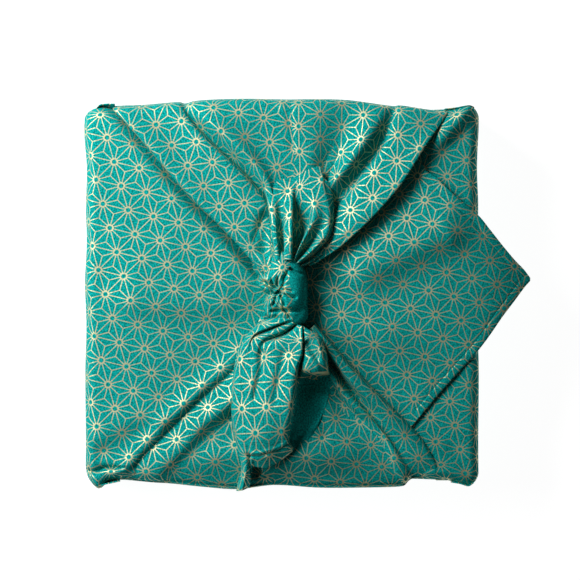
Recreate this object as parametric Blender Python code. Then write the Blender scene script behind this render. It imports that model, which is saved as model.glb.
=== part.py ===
"""Furoshiki wrap: one square cotton cloth folded and tied round a flat box, with a knot on top.

The parcel lies on its base. +X runs to the side where the corner of one flap overhangs the box, +Y to the
side that the shorter ear of the knot points to, and +Z up. The origin is the middle of the flat base.
Every length is in millimetres, and MM turns it into metres at the end.
"""

import math

import bmesh
import bpy
import numpy as np

MM = 0.001

# The wrapped box, over the cloth that lies flat on it.
HALF_X = 105.0
HALF_Y = 101.5
TOP = 45.0
EDGE_RADIUS = 6.0

# How deep each layer's solid runs into the one under it, and how far its foot runs below the base.
SUNK = 4.0
FOOT = -3.0

# The flap that lies over the top from the -X side: its thickness, and how far its corner droops.
FLAP_THICK = 2.0
FLAP_DROOP = 7.0

# The bands of gathered cloth that the knot is made of: five points that each one passes through, with heights
# over the top of the box, and its radius.
KNOT_BANDS = (
    # start, second, middle, fourth, end, radius
    ((3.0, 15.0, 12.0), (9.2, 9.5, 17.0), (9.4, 1.5, 19.0), (7.4, -6.5, 17.5), (1.0, -9.0, 12.0), 5.6),
    ((5.0, 12.0, 12.0), (-1.0, 11.5, 17.8), (-6.0, 7.2, 17.5), (-5.0, 3.2, 15.0), (-1.0, 1.5, 8.0), 5.2),
    ((-1.5, 4.0, 7.0), (-5.6, 0.5, 15.5), (-5.2, -3.8, 16.5), (-0.5, -6.0, 16.0), (4.0, -3.0, 12.0), 5.0),
    ((-4.0, -9.0, 8.0), (1.5, -11.8, 14.0), (7.0, -12.0, 15.0), (10.0, -8.5, 12.0), (10.0, -3.0, 8.0), 4.6),
    ((-6.0, 13.0, 8.0), (-2.0, 15.8, 13.5), (3.5, 16.4, 15.5), (8.5, 13.0, 14.0), (10.0, 7.0, 9.0), 4.8),
    ((4.0, 9.0, 12.0), (3.6, 5.5, 17.0), (3.4, 1.0, 18.6), (3.6, -4.0, 17.0), (4.0, -7.0, 12.0), 4.2),
)
KNOT_HEART = ((1.5, 15.0, 3.0), (1.2, 9.0, 7.5), (1.0, 2.0, 8.5), (1.5, -5.0, 7.5), (2.0, -12.0, 3.0), 11.5)

TEAL = (0.0, 0.235, 0.205, 1.0)
CLOTH_ROUGHNESS = 0.75

# Folds of the two tied panels from -X to +X: where each crosses the box edge, its middle and its end in the
# knot, with its height over the top of the box at all three, and where its foot meets the base.
BACK_FOLDS = (
    # edge_x, edge_rise, mid_x, mid_y, mid_rise, knot_x, knot_y, knot_rise, foot_x
    (-92.0, 1.6, -56.0, 59.0, 2.2, -11.0, 16.0, 9.0, -103.0),
    (-75.0, 2.6, -38.0, 61.0, 4.4, -9.5, 17.5, 12.0, -80.0),
    (-54.0, 2.8, -18.5, 62.0, 5.0, -7.0, 19.0, 12.0, -57.0),
    (-52.5, 1.0, -17.0, 63.0, 2.2, -6.0, 19.0, 9.0, -55.0),
    (-22.0, 2.6, -5.0, 63.0, 4.6, -4.0, 20.0, 13.0, -23.0),
    (3.8, 0.9, 4.6, 62.0, 3.0, -1.0, 20.0, 11.0, 4.0),
    (18.0, 2.6, 13.0, 64.0, 4.6, 1.0, 19.0, 13.0, 19.0),
    (34.0, 1.2, 21.5, 65.0, 3.0, 3.0, 18.5, 11.0, 35.0),
    (49.0, 3.2, 31.0, 64.0, 5.6, 5.0, 18.0, 12.0, 51.0),
    (61.0, 0.6, 38.0, 62.5, 1.2, 7.0, 17.5, 7.5, 64.0),
    (76.0, 3.0, 51.0, 61.0, 6.8, 10.0, 16.5, 11.0, 82.0),
    (89.5, 1.8, 62.5, 60.0, 4.2, 14.0, 14.5, 8.0, 103.0),
)
FRONT_FOLDS = (
    # edge_x, edge_rise, mid_x, mid_y, mid_rise, knot_x, knot_y, knot_rise, foot_x
    (-87.0, 1.6, -46.0, -58.0, 2.6, -9.0, -2.5, 7.0, -103.0),
    (-74.0, 3.0, -40.0, -61.0, 5.4, -8.0, -5.0, 10.0, -80.0),
    (-61.0, 0.9, -32.0, -63.5, 2.0, -6.5, -8.0, 7.5, -64.0),
    (-46.0, 2.6, -24.0, -66.0, 4.6, -5.0, -10.0, 10.0, -48.0),
    (-20.0, 1.4, -11.0, -64.0, 3.4, -2.0, -12.0, 9.0, -20.0),
    (3.0, 2.8, 3.0, -63.0, 5.2, 2.0, -13.5, 11.0, 4.0),
    (21.0, 2.0, 16.0, -60.0, 4.0, 6.0, -14.5, 9.5, 23.0),
    (44.0, 1.4, 27.5, -52.0, 2.6, 9.5, -14.5, 5.5, 47.0),
    (66.0, 3.0, 38.0, -62.0, 5.6, 12.0, -13.0, 9.0, 70.0),
    (68.5, 1.2, 46.0, -56.0, 3.4, 13.0, -10.5, 7.5, 80.0),
    (72.5, 1.6, 53.0, -53.5, 4.4, 14.0, -8.0, 8.0, 103.0),
)

# The flap from under the knot to its corner: its two edges at each station, their height over the top of the
# box, and the height of its middle.
FLAP = (
    # station_x, back_y, back_rise, front_y, front_rise, middle_rise
    (-40.0, 92.0, -1.5, -92.0, -1.5, -1.5),
    (20.0, 92.0, -1.0, -94.0, -1.5, 0.4),
    (46.0, 92.0, 0.4, -88.0, -0.6, 1.8),
    (66.0, 77.8, 1.8, -74.2, 2.0, 2.5),
    (84.0, 63.2, 2.2, -55.5, 2.2, 2.8),
    (96.0, 51.8, 2.0, -42.6, 2.2, 2.4),
    (104.0, 44.4, 1.6, -34.0, 2.0, 2.0),
    (112.0, 36.2, 0.6, -21.8, 0.9, 0.8),
    (120.0, 26.3, -1.4, -10.8, -1.0, -1.0),
    (127.5, 17.6, -4.0, -0.9, -3.8, -3.6),
    (133.8, 9.4, -FLAP_DROOP, 6.9, -FLAP_DROOP, -FLAP_DROOP),
)

# The two ears of the knot, from the knot to the end: the line of the crown, the width to each side of it, and
# the height of the sides and the crown over the top of the box.
BACK_EAR = (
    # mid_x, mid_y, left, right, left_rise, crown_rise, right_rise
    (0.5, 8.0, 5.0, 6.0, 15.0, 20.0, 15.0),
    (1.5, 18.0, 5.5, 8.5, 12.0, 20.0, 12.5),
    (4.5, 25.5, 9.0, 14.0, 9.5, 19.0, 10.0),
    (6.5, 36.0, 10.5, 18.0, 8.0, 17.0, 9.0),
    (9.0, 45.0, 15.0, 19.5, 8.0, 15.5, 8.5),
    (10.5, 52.0, 16.0, 17.5, 7.5, 13.5, 8.0),
    (12.5, 59.0, 14.0, 12.5, 7.0, 11.5, 7.0),
    (15.0, 65.5, 7.0, 6.0, 5.5, 8.5, 5.5),
    (17.5, 69.5, 2.5, 2.0, 4.0, 5.5, 4.0),
)
FRONT_EAR = (
    # mid_x, mid_y, left, right, left_rise, crown_rise, right_rise
    (6.0, -4.0, 8.0, 6.0, 14.0, 18.0, 14.0),
    (8.5, -14.5, 13.0, 5.0, 11.0, 18.5, 13.0),
    (10.5, -22.0, 27.0, 6.5, 8.5, 19.0, 13.0),
    (10.5, -31.0, 33.0, 13.0, 7.5, 18.5, 11.0),
    (8.5, -39.4, 33.5, 17.5, 7.5, 18.0, 9.0),
    (6.5, -47.5, 32.5, 18.5, 7.0, 17.0, 8.0),
    (4.8, -57.8, 31.5, 18.5, 7.0, 15.0, 7.0),
    (3.5, -66.0, 30.3, 16.5, 6.5, 12.5, 6.0),
    (0.5, -75.0, 26.0, 12.5, 6.0, 10.0, 5.5),
    (-4.5, -83.0, 20.0, 8.0, 5.5, 8.0, 5.0),
    (-10.0, -90.0, 13.5, 3.5, 4.5, 6.5, 4.5),
    (-15.5, -97.0, 6.5, 3.0, 3.5, 4.8, 3.5),
    (-19.5, -103.0, 3.5, 3.0, 1.0, 2.0, 1.0),
)
EAR_PLEATS = 3
EAR_PLEAT_DEPTH = 2.6
EAR_THICK = 2.6


def smooth_through(points, steps):
    """A smooth curve through the points, as steps points spaced evenly by section."""
    p = np.array(points, float)
    p = np.vstack([2 * p[0] - p[1], p, 2 * p[-1] - p[-2]])
    t = np.linspace(0, len(p) - 3, steps)
    k = np.minimum(t.astype(int), len(p) - 4)
    f = (t - k)[:, None]
    a, b, c, d = (p[k + i] for i in range(4))
    return 0.5 * (2 * b + (c - a) * f + (2 * a - 5 * b + 4 * c - d) * f**2 + (3 * b - a - 3 * c + d) * f**3)


def bump(x, y, at_x, at_y, half_long, half_wide, turn, height):
    """A soft swelling of the cloth, long along the direction turn degrees from +X."""
    c, s = math.cos(math.radians(turn)), math.sin(math.radians(turn))
    along, across = (x - at_x) * c + (y - at_y) * s, (y - at_y) * c - (x - at_x) * s
    return height * math.exp(-((along / half_long) ** 2) - (across / half_wide) ** 2)


def object_from_grids(name, faces, points):
    """A closed object from points and faces, its normals turned outward."""
    bm = bmesh.new()
    verts = [bm.verts.new(p) for p in points]
    for face in faces:
        bm.faces.new([verts[i] for i in face])
    bmesh.ops.remove_doubles(bm, verts=bm.verts, dist=0.0005)
    bmesh.ops.recalc_face_normals(bm, faces=bm.faces)
    if bm.calc_volume(signed=True) < 0:
        bmesh.ops.reverse_faces(bm, faces=bm.faces)
    bmesh.ops.triangulate(bm, faces=bm.faces)
    mesh = bpy.data.meshes.new(name)
    bm.to_mesh(mesh)
    bm.free()
    obj = bpy.data.objects.new(name, mesh)
    bpy.context.collection.objects.link(obj)
    return obj


def slab(name, upper, lower):
    """A closed solid between two grids of points that share their number of rows and columns."""
    rows, cols = upper.shape[:2]
    points = np.vstack([upper.reshape(-1, 3), lower.reshape(-1, 3)])
    n = rows * cols
    faces = []
    for r in range(rows - 1):
        for c in range(cols - 1):
            a, b, d, e = r * cols + c, r * cols + c + 1, (r + 1) * cols + c + 1, (r + 1) * cols + c
            faces += [(a, b, d, e), (n + e, n + d, n + b, n + a)]
    rim = [c for c in range(cols)] + [r * cols + cols - 1 for r in range(1, rows)]
    rim += [(rows - 1) * cols + c for c in range(cols - 2, -1, -1)]
    rim += [r * cols for r in range(rows - 2, 0, -1)]
    for a, b in zip(rim, rim[1:] + rim[:1]):
        faces.append((a, n + a, n + b, b))
    return object_from_grids(name, faces, points)


def box_body():
    """The wrapped box with the layer of cloth next to it: rounded edges, and soft swellings of the cloth."""
    cuts_x, cuts_y, cuts_z = 20, 19, 6
    half = np.array([HALF_X, HALF_Y, (TOP - FOOT) / 2])
    centre = np.array([0, 0, (TOP + FOOT) / 2])
    points, faces, seen = [], [], {}

    def vertex(p):
        key = tuple(np.round(p, 5))
        if key not in seen:
            seen[key] = len(points)
            core = np.clip(p, -(half - EDGE_RADIUS), half - EDGE_RADIUS)
            out = p - core
            reach = np.linalg.norm(out)
            q = core + (out / reach * EDGE_RADIUS if reach > 1e-9 else out) + centre
            points.append(settle(q, p / half))
        return seen[key]

    def settle(q, unit):
        x, y, z = q
        if unit[2] > 0.99:
            z += bump(x, y, 99, 80, 22, 5, 76, 1.6) - bump(x, y, 92, 70, 26, 5, 52, 1.2)
            z += bump(x, y, 80, -90, 26, 6, -56, 1.3) - bump(x, y, 68, -88, 20, 5, -60, 1.0)
            z += bump(x, y, -100, 0, 10, 70, 0, 0.8) - bump(x, y, -80, -75, 30, 8, 35, 1.2)
            z += bump(x, y, -60, 10, 40, 30, 0, 0.6)
        lift = max(0.0, min(1.0, z / TOP))
        belly = 0.6 * math.sin(math.pi * lift)
        if abs(unit[0]) > 0.99:
            x += math.copysign(0.9 * math.sin(y / 17.0 + 1.0) * lift + belly, x)
        if abs(unit[1]) > 0.99:
            y += math.copysign(0.7 * math.sin(x / 15.0) * lift + belly, y)
        return (x, y, z)

    def grid(axis, sign, na, nb):
        others = [i for i in range(3) if i != axis]
        index = np.empty((na + 1, nb + 1), int)
        for i, a in enumerate(stations(half[others[0]], na)):
            for j, b in enumerate(stations(half[others[1]], nb)):
                p = np.zeros(3)
                p[axis], p[others[0]], p[others[1]] = sign * half[axis], a, b
                index[i, j] = vertex(p)
        for i in range(na):
            for j in range(nb):
                faces.append((index[i, j], index[i + 1, j], index[i + 1, j + 1], index[i, j + 1]))

    def stations(h, n):
        inner = np.linspace(-(h - EDGE_RADIUS), h - EDGE_RADIUS, n - 3)
        return [-h, -(h - EDGE_RADIUS * 0.45), *inner, h - EDGE_RADIUS * 0.45, h]

    for sign in (-1, 1):
        grid(0, sign, cuts_y, cuts_z)
        grid(1, sign, cuts_x, cuts_z)
        grid(2, sign, cuts_x, cuts_y)
    return object_from_grids("furoshiki_wrap", faces, points)


def fold_line(row, side, inner):
    """One fold of a tied panel, from the knot over the box edge to its foot, or the same line inside."""
    edge_x, edge_rise, mid_x, mid_y, mid_rise, knot_x, knot_y, knot_rise, foot_x = row
    sunk = SUNK if inner else 0.0
    top = smooth_through(
        [
            (knot_x, knot_y, TOP + knot_rise - sunk * 1.6),
            (mid_x, mid_y, TOP + mid_rise - sunk - mid_rise * (sunk > 0)),
            (edge_x, side * (HALF_Y - EDGE_RADIUS), TOP + edge_rise - sunk - edge_rise * (sunk > 0)),
        ],
        13,
    )
    turn = []
    radius = EDGE_RADIUS + (-sunk if inner else edge_rise)
    for k in (1, 2, 3):
        a = math.radians(90 - 30 * k)
        y = HALF_Y - EDGE_RADIUS + radius * math.cos(a)
        turn.append((edge_x, side * y, TOP - EDGE_RADIUS + radius * math.sin(a)))
    y = HALF_Y - sunk + (0.0 if inner else 0.6)
    down = []
    for k, drop in enumerate((0.5, 1.0)):
        x = edge_x + (foot_x - edge_x) * drop
        bulge = 0.0 if inner else edge_rise * (1 - drop) * 0.7
        down.append((x, side * (y + bulge), (TOP - EDGE_RADIUS) * (1 - drop) + FOOT * drop))
    return np.array([*top, *turn, *down])


def tied_panel(name, folds, side):
    """A panel of the cloth gathered into the knot, as a fan of folds."""
    grids = []
    for inner in (False, True):
        lines = [fold_line(row, side, inner) for row in folds]
        columns = [lines[0]]
        for left, right in zip(lines, lines[1:]):
            steps = 1 if abs(left[13][0] - right[13][0]) < 6 else 3
            for k in range(1, steps + 1):
                f = k / steps
                ease = f * f * (3 - 2 * f)
                column = left + (right - left) * f
                column[:13, 2] = left[:13, 2] + (right[:13, 2] - left[:13, 2]) * ease
                columns.append(column)
        grids.append(np.array(columns))
    return slab(name, *grids)


def flap():
    """The flap under the tied panels, whose corner overhangs the +X side and droops."""
    rows = smooth_through(FLAP, 25)
    upper, lower = [], []
    for x, back_y, back, front_y, front, middle in rows:
        line = []
        for f in np.linspace(0, 1, 9):
            y = back_y + (front_y - back_y) * f
            side = back + (front - back) * f
            hem = 0.25 if f in (0.125, 0.875) else 0.0
            line.append((x, y, TOP + side + (middle - side) * math.sin(math.pi * f) + hem))
        upper.append(line)
        lower.append([(px, py, pz - (FLAP_THICK if x > HALF_X - 8 else SUNK)) for px, py, pz in line])
    return slab("flap", np.array(upper), np.array(lower))


def ear(name, table, lean):
    """One ear of the knot: a pleated sheet arched over the panel below it."""
    rows = smooth_through(table, 17)
    across = 17
    upper, lower = [], []
    heading = np.gradient(rows[:, :2], axis=0)
    for i, (x, y, left, right, left_rise, crown, right_rise) in enumerate(rows):
        d = heading[i] / np.linalg.norm(heading[i])
        side = np.array([d[1], -d[0]]) * lean
        fade = 1 - (i / (len(rows) - 1)) ** 2
        line = []
        for f in np.linspace(-1, 1, across):
            reach = f * (left if f < 0 else right)
            skirt = left_rise if f < 0 else right_rise
            z = crown + (skirt - crown) * (1 - math.cos(math.pi * abs(f))) / 2
            pleat = 0.5 - 0.5 * math.cos(math.pi * EAR_PLEATS * (f + 1))
            z -= EAR_PLEAT_DEPTH * fade * (1 - abs(f)) * pleat
            line.append((x + side[0] * reach, y + side[1] * reach, TOP + z))
        upper.append(line)
        lower.append([(px, py, pz - EAR_THICK) for px, py, pz in line])
    return slab(name, np.array(upper), np.array(lower))


def band(name, points, radius):
    """One band of gathered cloth in the knot, as a closed bent roll with a few soft gathers along it."""
    stations, around = 13, 14
    path = smooth_through(points, stations)
    path[:, 2] += TOP
    heading = np.gradient(path, axis=0)
    verts = []
    for i, (centre, d) in enumerate(zip(path, heading)):
        d = d / np.linalg.norm(d)
        side = np.cross(d, (0.0, 0.0, 1.0))
        side /= np.linalg.norm(side)
        up = np.cross(side, d)
        t = 2 * i / (stations - 1) - 1
        r = radius * max(0.12, (1 - abs(t) ** 5)) ** 0.5
        for j in range(around):
            a = 2 * math.pi * j / around
            g = r * (1 + 0.05 * math.cos(4 * a + i))
            verts.append(centre + side * g * math.cos(a) + up * g * math.sin(a))
    faces = [tuple(range(around)), tuple((stations - 1) * around + j for j in range(around))]
    for i in range(stations - 1):
        for j in range(around):
            a, b = i * around + j, i * around + (j + 1) % around
            faces.append((a, b, b + around, a + around))
    return object_from_grids(name, faces, verts)


def combine(obj, other, operation):
    """Apply an exact Boolean to obj and remove the other object."""
    modifier = obj.modifiers.new("join", "BOOLEAN")
    modifier.operation = operation
    modifier.solver = "EXACT"
    modifier.use_self = True
    modifier.object = other
    bpy.context.view_layer.update()
    graph = bpy.context.evaluated_depsgraph_get()
    mesh = bpy.data.meshes.new_from_object(obj.evaluated_get(graph))
    obj.modifiers.clear()
    obj.data = mesh
    bpy.data.objects.remove(other, do_unlink=True)


def build():
    for obj in list(bpy.data.objects):
        bpy.data.objects.remove(obj, do_unlink=True)
    wrap = box_body()
    combine(wrap, flap(), "UNION")
    combine(wrap, tied_panel("back_panel", BACK_FOLDS, 1), "UNION")
    combine(wrap, tied_panel("front_panel", FRONT_FOLDS, -1), "UNION")
    for *points, radius in (KNOT_HEART, *KNOT_BANDS):
        combine(wrap, band("band", points, radius), "UNION")
    combine(wrap, ear("back_ear", BACK_EAR, 1), "UNION")
    combine(wrap, ear("front_ear", FRONT_EAR, -1), "UNION")
    below = slab(
        "below",
        np.array([[(-200, -200, 0), (-200, 200, 0)], [(200, -200, 0), (200, 200, 0)]], float),
        np.array([[(-200, -200, -50), (-200, 200, -50)], [(200, -200, -50), (200, 200, -50)]], float),
    )
    combine(wrap, below, "DIFFERENCE")
    for vertex in wrap.data.vertices:
        vertex.co *= MM
    material = bpy.data.materials.new("printed_cotton")
    material.use_nodes = True
    shader = material.node_tree.nodes["Principled BSDF"]
    shader.inputs["Base Color"].default_value = TEAL
    shader.inputs["Roughness"].default_value = CLOTH_ROUGHNESS
    wrap.data.materials.clear()
    wrap.data.materials.append(material)


build()
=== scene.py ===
"""A furoshiki wrap: one square of printed cotton folded and tied round a flat box."""

import math

import bmesh
import bpy
import numpy as np
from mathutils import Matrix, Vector


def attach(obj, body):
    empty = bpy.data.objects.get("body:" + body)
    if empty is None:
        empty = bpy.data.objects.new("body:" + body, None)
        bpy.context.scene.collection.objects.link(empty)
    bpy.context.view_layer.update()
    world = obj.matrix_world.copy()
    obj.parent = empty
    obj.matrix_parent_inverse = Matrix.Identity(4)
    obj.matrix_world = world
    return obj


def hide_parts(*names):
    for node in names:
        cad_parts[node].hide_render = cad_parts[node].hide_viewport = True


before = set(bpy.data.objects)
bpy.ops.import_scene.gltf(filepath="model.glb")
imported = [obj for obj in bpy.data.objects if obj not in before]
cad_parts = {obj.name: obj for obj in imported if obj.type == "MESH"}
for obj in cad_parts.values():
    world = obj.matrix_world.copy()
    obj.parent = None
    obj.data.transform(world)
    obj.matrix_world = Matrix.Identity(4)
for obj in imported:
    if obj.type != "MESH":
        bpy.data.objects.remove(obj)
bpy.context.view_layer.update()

# ----------------------------------------------------------------------
# The layer next to the box: printed cotton, folded over the top by hand, the flap from the left over the
# panel from the right. Both come round from the base, and the tied panels hold them. It is pulled smooth,
# with a ridge raised where the front panel draws it in.

# lengths are in millimetres, and MM makes them metres
MM = 0.001
# the wrapped box: the height of its top, half its size in X and Y, and the radius of its edges
TOP, HALF_X, HALF_Y, ROUND = 45.0, 106.0, 102.3, 5.5

# the print is a hemp-leaf lattice: how far a star is from the next, and how far a row of stars is from the
# next as a share of that
PITCH = 13.95
ROW = math.sqrt(3) / 2
LATTICE = {
    # panel: angle of its rows of stars from +X, where one star lies, how the cloth is drawn out in X and Y
    "flap": (-14.5, (-74.2, -29.0), 1.01, 0.97),
    "under": (-18.5, (99.7, 72.8), 1.0, 0.95),
}

# where the layer's print changes from the flap's to that of the panel from the right, hidden by the panels
RIGHT_FROM = 30.0

# lines (x, y): the ridge where the front panel draws it in, the left side of the back panel, and the diagonal
# of the back right corner
DRAWN_IN = [(-88.0, -103.0), (-74.0, -87.0), (-60.5, -71.8), (-43.0, -55.5), (-25.1, -40.0), (-13.0, -24.0)]
BESIDE_BACK = [(-95.5, 108.0), (-73.8, 80.8), (-51.2, 54.4), (-28.2, 31.7), (-11.2, 13.0)]
BACK_CORNER = [(104.0, 106.0), (96.0, 95.0), (87.0, 85.0), (76.0, 75.0)]
SWELLS = (
    # a soft swell: where its crest runs, its height, how far it reaches to the left and right of the line
    ([(-98.0, 0.0), (-80.0, -2.5), (-50.0, -4.0), (-14.0, -4.0)], 2.8, 26.0, 9.0),
    ([(-108.0, -76.0), (-92.0, -79.0), (-76.0, -72.0), (-60.0, -60.0)], 1.6, 14.0, 6.0),
    ([(-100.0, 30.0), (-80.0, 24.0), (-50.0, 24.0)], 0.8, 16.0, 12.0),
)
DENTS = (
    # a long dent: where it runs, its height, its width, the shares of its length that it fades over
    ([(-104.0, -88.0), (-84.0, -77.0), (-66.0, -69.0)], -1.5, 5.0, (0.15, 0.15)),
    ([(-107.0, -95.0), (-96.0, -93.8), (-84.0, -94.8)], -2.8, 1.2, (0.01, 0.2)),
    ([(88.0, -78.0), (97.0, -90.0), (103.0, -103.0)], -0.8, 4.5, (0.3, 0.1)),
)
# the narrow dent along the front edge needs closer rows of points: from, to, step
CLOSE_ROWS = (-96.4, -92.4, 0.5)
# points across the faces in X, Y and Z, and across the base, which doesn't show
POINTS, BASE_POINTS = (96, 92, 12), (14, 14, 6)
LIPS = (
    # a lip at a corner: which edge it is at, back (1) or front (-1), then points (x, y, z) along its crest
    (1, (-100.6, 100.6, -3.4), (-98.6, 102.4, -1.6), (-95.0, 102.9, -0.8), (-90.4, 102.8, 0.4)),
    (1, (88.0, 100.2, -1.0), (95.0, 101.0, -0.4), (101.2, 102.0, -0.4), (104.0, 101.2, -2.4)),
    (-1, (-104.2, -97.4, -3.4), (-100.6, -102.6, -1.6), (-95.0, -101.8, -0.8), (-87.6, -100.2, -0.6)),
    (-1, (91.4, -100.8, -0.8), (96.2, -101.6, -0.4), (100.8, -102.8, -0.4), (103.8, -101.2, -2.4)),
)
# a lip across its crest: how far out of it and how far over it, from the gap behind it to the side of the box
LIP_PROFILE = [(-3.6, -7.0), (-1.2, -6.0), (-0.1, -4.5), (0.0, -0.6), (0.3, 0.0), (0.6, -0.4), (0.7, -9.0)]

# points of two panels that are closer than this, in metres, are one point
JOINED_WITHIN = 1e-6


class Cloth:
    """The faces and print coordinates of the one cloth, as its panels are laid on."""

    def __init__(self):
        self.verts, self.faces, self.uvs, self.count = [], [], [], 0

    def lay(self, grid, uv):
        """Add a grid of points; uv has its print coordinates per point, or per row of faces in a list."""
        rows, cols = grid.shape[:2]
        self.verts.append(grid.reshape(-1, 3))
        index = self.count + np.arange(rows * cols).reshape(rows, cols)
        self.count += rows * cols
        quads = np.stack([index[:-1, :-1], index[1:, :-1], index[1:, 1:], index[:-1, 1:]], axis=-1)
        self.faces.append(quads.reshape(-1, 4))
        if isinstance(uv, np.ndarray):
            uv = list(zip(uv[:-1], uv[1:]))
        corners = [np.stack([near[:-1], far[:-1], far[1:], near[1:]], axis=1) for near, far in uv]
        self.uvs.append(np.concatenate(corners).reshape(-1, 2))

    def finish(self, name):
        """Make the mesh, with the panels joined where their edges meet."""
        points, faces = np.concatenate(self.verts) * MM, np.concatenate(self.faces)
        mesh = bpy.data.meshes.new(name)
        mesh.from_pydata(points.tolist(), [], faces.tolist())
        mesh.uv_layers.new(name="print").data.foreach_set("uv", np.concatenate(self.uvs).ravel())
        mesh.polygons.foreach_set("use_smooth", [True] * len(faces))
        mesh.update()
        joined = bmesh.new()
        joined.from_mesh(mesh)
        bmesh.ops.remove_doubles(joined, verts=joined.verts, dist=JOINED_WITHIN)
        joined.to_mesh(mesh)
        joined.free()
        obj = bpy.data.objects.new(name, mesh)
        bpy.context.collection.objects.link(obj)
        return obj


cloth = Cloth()


def printed(flat, panel):
    """Lattice coordinates, in repeats, of points on the flat cloth."""
    turn, star, draw_x, draw_y = LATTICE[panel]
    cos, sin = math.cos(math.radians(-turn)), math.sin(math.radians(-turn))
    x, y = (flat[..., 0] - star[0]) / draw_x, (flat[..., 1] - star[1]) / draw_y
    return np.stack([x * cos - y * sin, x * sin + y * cos], axis=-1) / PITCH


def past(value, start, over):
    """How far value is past start, as a share of over, kept from 0 to 1; over is negative where it falls."""
    return np.clip((value - start) / over, 0, 1)


def eased(share):
    """A share from 0 to 1 given a soft start and a soft end."""
    return share * share * (3 - 2 * share)


def bell(distance, width):
    """1 on a line, fading softly to both sides of it."""
    return np.exp(-((distance / width) ** 2))


def waves(x, y, seed, size, height, count=9):
    """Uneven soft waves over a surface, about size from crest to crest."""
    rng = np.random.default_rng(seed)
    total = np.zeros(np.broadcast(x, y).shape)
    for _ in range(count):
        turn, phase = rng.uniform(0, 2 * math.pi, 2)
        k = 2 * math.pi / (size * rng.uniform(0.7, 1.7))
        total += np.sin(k * (x * math.cos(turn) + y * math.sin(turn)) + phase)
    return total * height / math.sqrt(count)


def along_line(x, y, line):
    """Signed distance to the left of a line of points, and how far along it from 0 to 1."""
    line = np.asarray(line, float)
    best = np.full(x.shape, np.inf)
    side, went = np.zeros(x.shape), np.zeros(x.shape)
    lengths = np.linalg.norm(np.diff(line, axis=0), axis=1)
    starts = np.concatenate([[0], np.cumsum(lengths)]) / lengths.sum()
    for k, (a, b) in enumerate(zip(line[:-1], line[1:])):
        way = (b - a) / lengths[k]
        gone = np.clip((x - a[0]) * way[0] + (y - a[1]) * way[1], 0, lengths[k])
        off_x, off_y = x - a[0] - way[0] * gone, y - a[1] - way[1] * gone
        reach = np.hypot(off_x, off_y)
        near = reach < best
        best = np.where(near, reach, best)
        side = np.where(near, np.sign(way[0] * off_y - way[1] * off_x) * reach, side)
        went = np.where(near, starts[k] + gone / lengths.sum(), went)
    return side, went


def fold(x, y, line, height, width, ends=(0.15, 0.15)):
    """A soft ridge, or a valley where height is negative, along a line, fading at its two ends."""
    side, went = along_line(x, y, line)
    fade = past(went, 0, ends[0]) * past(went, 1, -ends[1])
    return height * eased(fade) * bell(side, width)


def swell(x, y, line, height, left, right):
    """A broad swell along a line that reaches further to one side of it than to the other."""
    side, went = along_line(x, y, line)
    fade = past(np.minimum(went, 1 - went), 0, 0.2)
    return height * fade * bell(side, np.where(side > 0, left, right))


def settled(x, y):
    """Height of the under layer over the top of the box."""
    z = waves(x, y, seed=3, size=60, height=0.28) + waves(x, y, seed=4, size=26, height=0.07)

    # the ridge: its crest lies beside the line, and it falls away steeply towards the front panel
    side, went = along_line(x, y, DRAWN_IN)
    crest, height = 2.8, 2.3 + 1.9 * went - 2.2 * past(went, 0.62, 0.3)
    slope, steep = bell(side - crest, 5.2 + 2 * went), eased(past(side, crest - 3.0, 3.0))
    z = z + height * np.where(side > crest, slope, steep) * past(1.02 - went, 0, 1 / 9)

    # beside the back panel it bulges, and goes down into a groove at the panel's edge
    side, went = along_line(x, y, BESIDE_BACK)
    crest, groove_width = -6.5, 1.6 + 2.6 * went
    bulge = 1.6 * bell(side - crest, np.where(side < crest, 9.0, 4.2))
    groove = (2.6 + 4.4 * went) * past(side, -0.6 - groove_width, groove_width)
    z = z + (bulge - groove) * past(went, 0, 1 / 8) * (side < 3)

    # it stands up at the back right corner, where the back panel pulls at it
    side, went = along_line(x, y, BACK_CORNER)
    z = z + 4.2 * bell(side, np.where(side > 0, 3.4, 7.0)) * past(1 - went, 0, 1 / 3)

    for line, height, left, right in SWELLS:
        z = z + swell(x, y, line, height, left, right)
    for line, height, width, ends in DENTS:
        z = z + fold(x, y, line, height, width, ends)
    # under the front panel it is pressed down at the edge
    return z - 3.4 * past(-y, 84, 8) * past(np.abs(x), 80, -10)


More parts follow.
